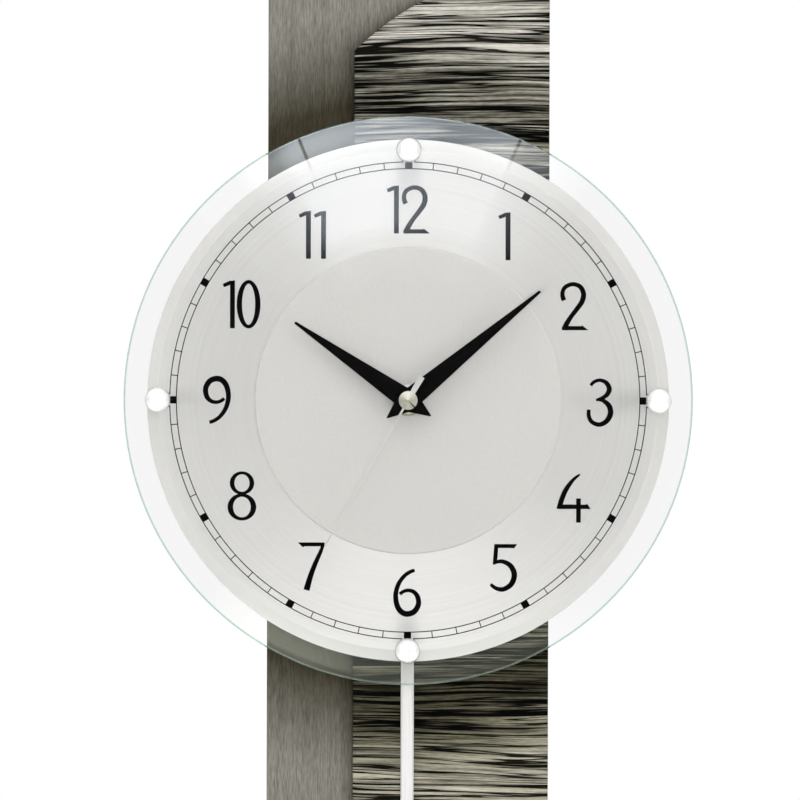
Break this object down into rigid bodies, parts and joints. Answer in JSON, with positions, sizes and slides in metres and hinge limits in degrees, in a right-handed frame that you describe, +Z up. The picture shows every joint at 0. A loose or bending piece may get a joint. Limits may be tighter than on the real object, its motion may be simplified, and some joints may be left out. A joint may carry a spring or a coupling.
{
  "type": "radio-controlled pendulum wall clock",
  "caption": "Wall clock with a narrow streaked-wood board, a round silver dial behind a larger glass disc on studs, black kite hands and a flat-rod pendulum.",
  "frame": {"origin": "centre of the round hole in the hanger plate, in the plane of the wall", "axes": "+Z up along the board, +Y into the wall, +X to the right as one faces the dial"},
  "size_m": [0.3, 0.1075, 0.67],
  "materials": {
    "board": "dark painted fibreboard, matt",
    "facing": "dark titanium-grey sheet, brushed upwards",
    "decor": "dark grey streaked wood print, satin",
    "steel": "zinc-plated, satin",
    "carrier": "black painted fibreboard, matt",
    "dial": "silver, circular brushed",
    "centre": "silver, fine satin",
    "stud": "polished",
    "soft": "clear soft washers",
    "glass": "clear, ground edge",
    "rubber": "matt",
    "case": "black, fine grain",
    "brass": "satin",
    "circuit": "green laminate",
    "chips": "moulded",
    "copper": "enamelled copper wire",
    "stator": "soft iron, stamped",
    "ferrite": "sintered, matt",
    "cell": "plain sleeve, satin",
    "hands": "black, semi-gloss",
    "silver": "silver, brushed",
    "acetal": "natural acetal",
    "magnet": "sintered magnet, nickel-plated",
    "weight": "zinc-plated weight",
    "key": "pale grey moulding",
    "key_red": "red moulding"
  },
  "bodies": {
    "case": {"backboard": "board", "side_battens": "board", "cross_battens": "board", "hanger_block": "board", "metal_facing": "facing", "decor_panel": "decor", "hanger_plate": "steel", "hanger_screws": "steel", "dial_carrier": "carrier", "carrier_screws": "steel", "dial_plate": "dial", "centre_disc": "centre", "dial_screws": "steel", "standoff_sleeves": "stud", "standoff_screws": "steel", "glass_bushes": "soft", "glass_disc": "glass", "stud_caps": "stud", "movement_gasket": "rubber", "movement_front_case": "case", "movement_rear_case": "case", "movement_posts": "acetal", "movement_screws": "steel", "dial_washer": "steel", "centre_nut": "steel", "gear_plate": "brass", "circuit_board": "circuit", "circuit_chips": "chips", "time_coil": "copper", "time_stator": "stator", "seconds_coil": "copper", "seconds_stator": "stator", "antenna_rod": "ferrite", "antenna_coil": "copper", "contact_plus": "steel", "contact_minus": "steel", "pendulum_coil": "copper", "pendulum_pin": "brass"},
    "minute": {"minute_hand": "hands", "minute_wheel": "brass"},
    "hour": {"hour_hand": "hands", "hour_wheel": "acetal"},
    "second": {"second_hand": "silver", "second_cap": "silver", "seconds_wheel": "acetal"},
    "reverser": {"reverser_wheel": "acetal"},
    "time_intermediate": {"time_wheel": "acetal"},
    "time_motor": {"time_rotor": "magnet"},
    "seconds_intermediate": {"seconds_idler": "acetal"},
    "seconds_motor": {"seconds_rotor": "magnet"},
    "pendulum": {"pendulum_leader": "case", "leader_magnet": "magnet", "pendulum_rod": "silver", "bob_disc": "silver", "bob_weight": "weight", "bob_screws": "steel"},
    "battery": {"battery_cell": "cell"},
    "set_key": {"set_button": "key"},
    "wave_key": {"wave_button": "key"},
    "reset_key": {"reset_button": "key_red"}
  },
  "joints": [
    {"name": "minute_turn", "type": "hinge", "parent": "case", "child": "minute", "pos_m": [0, -0.07, -0.225], "axis": [0, 1, 0], "continuous": true},
    {"name": "hour_turn", "type": "hinge", "parent": "case", "child": "hour", "pos_m": [0, -0.07, -0.225], "axis": [0, 1, 0], "continuous": true},
    {"name": "second_turn", "type": "hinge", "parent": "case", "child": "second", "pos_m": [0, -0.07, -0.225], "axis": [0, 1, 0], "continuous": true},
    {"name": "reverser_turn", "type": "hinge", "parent": "case", "child": "reverser", "pos_m": [0, -0.064, -0.217], "axis": [0, 1, 0], "continuous": true},
    {"name": "time_intermediate_turn", "type": "hinge", "parent": "case", "child": "time_intermediate", "pos_m": [0.00827, -0.063, -0.21806], "axis": [0, 1, 0], "continuous": true},
    {"name": "time_motor_turn", "type": "hinge", "parent": "case", "child": "time_motor", "pos_m": [0.01786, -0.063, -0.21457], "axis": [0, 1, 0], "continuous": true},
    {"name": "seconds_intermediate_turn", "type": "hinge", "parent": "case", "child": "seconds_intermediate", "pos_m": [-0.00827, -0.057, -0.21806], "axis": [0, 1, 0], "continuous": true},
    {"name": "seconds_motor_turn", "type": "hinge", "parent": "case", "child": "seconds_motor", "pos_m": [-0.01617, -0.057, -0.21518], "axis": [0, 1, 0], "continuous": true},
    {"name": "pendulum_swing", "type": "hinge", "parent": "case", "child": "pendulum", "pos_m": [0, -0.0489, -0.261], "axis": [0, 1, 0], "range_deg": [-4, 4]},
    {"name": "battery_lift", "type": "slide", "parent": "case", "child": "battery", "axis": [0, 1, 0], "range_m": [0, 0.08]},
    {"name": "set_press", "type": "slide", "parent": "case", "child": "set_key", "axis": [0, -1, 0], "range_m": [0, 0.0008], "stiffness_N_per_m": 300, "springref_m": -0.0005},
    {"name": "wave_press", "type": "slide", "parent": "case", "child": "wave_key", "axis": [0, -1, 0], "range_m": [0, 0.0008], "stiffness_N_per_m": 300, "springref_m": -0.0005},
    {"name": "reset_press", "type": "slide", "parent": "case", "child": "reset_key", "axis": [0, -1, 0], "range_m": [0, 0.0008], "stiffness_N_per_m": 300, "springref_m": -0.0005}
  ],
  "couplings": [
    {"joint": "hour_turn", "follows": "minute_turn", "ratio": 0.083333},
    {"joint": "reverser_turn", "follows": "minute_turn", "ratio": -0.33333},
    {"joint": "time_intermediate_turn", "follows": "minute_turn", "ratio": -8},
    {"joint": "time_motor_turn", "follows": "minute_turn", "ratio": 60},
    {"joint": "seconds_intermediate_turn", "follows": "second_turn", "ratio": -5},
    {"joint": "seconds_motor_turn", "follows": "second_turn", "ratio": 30}
  ]
}
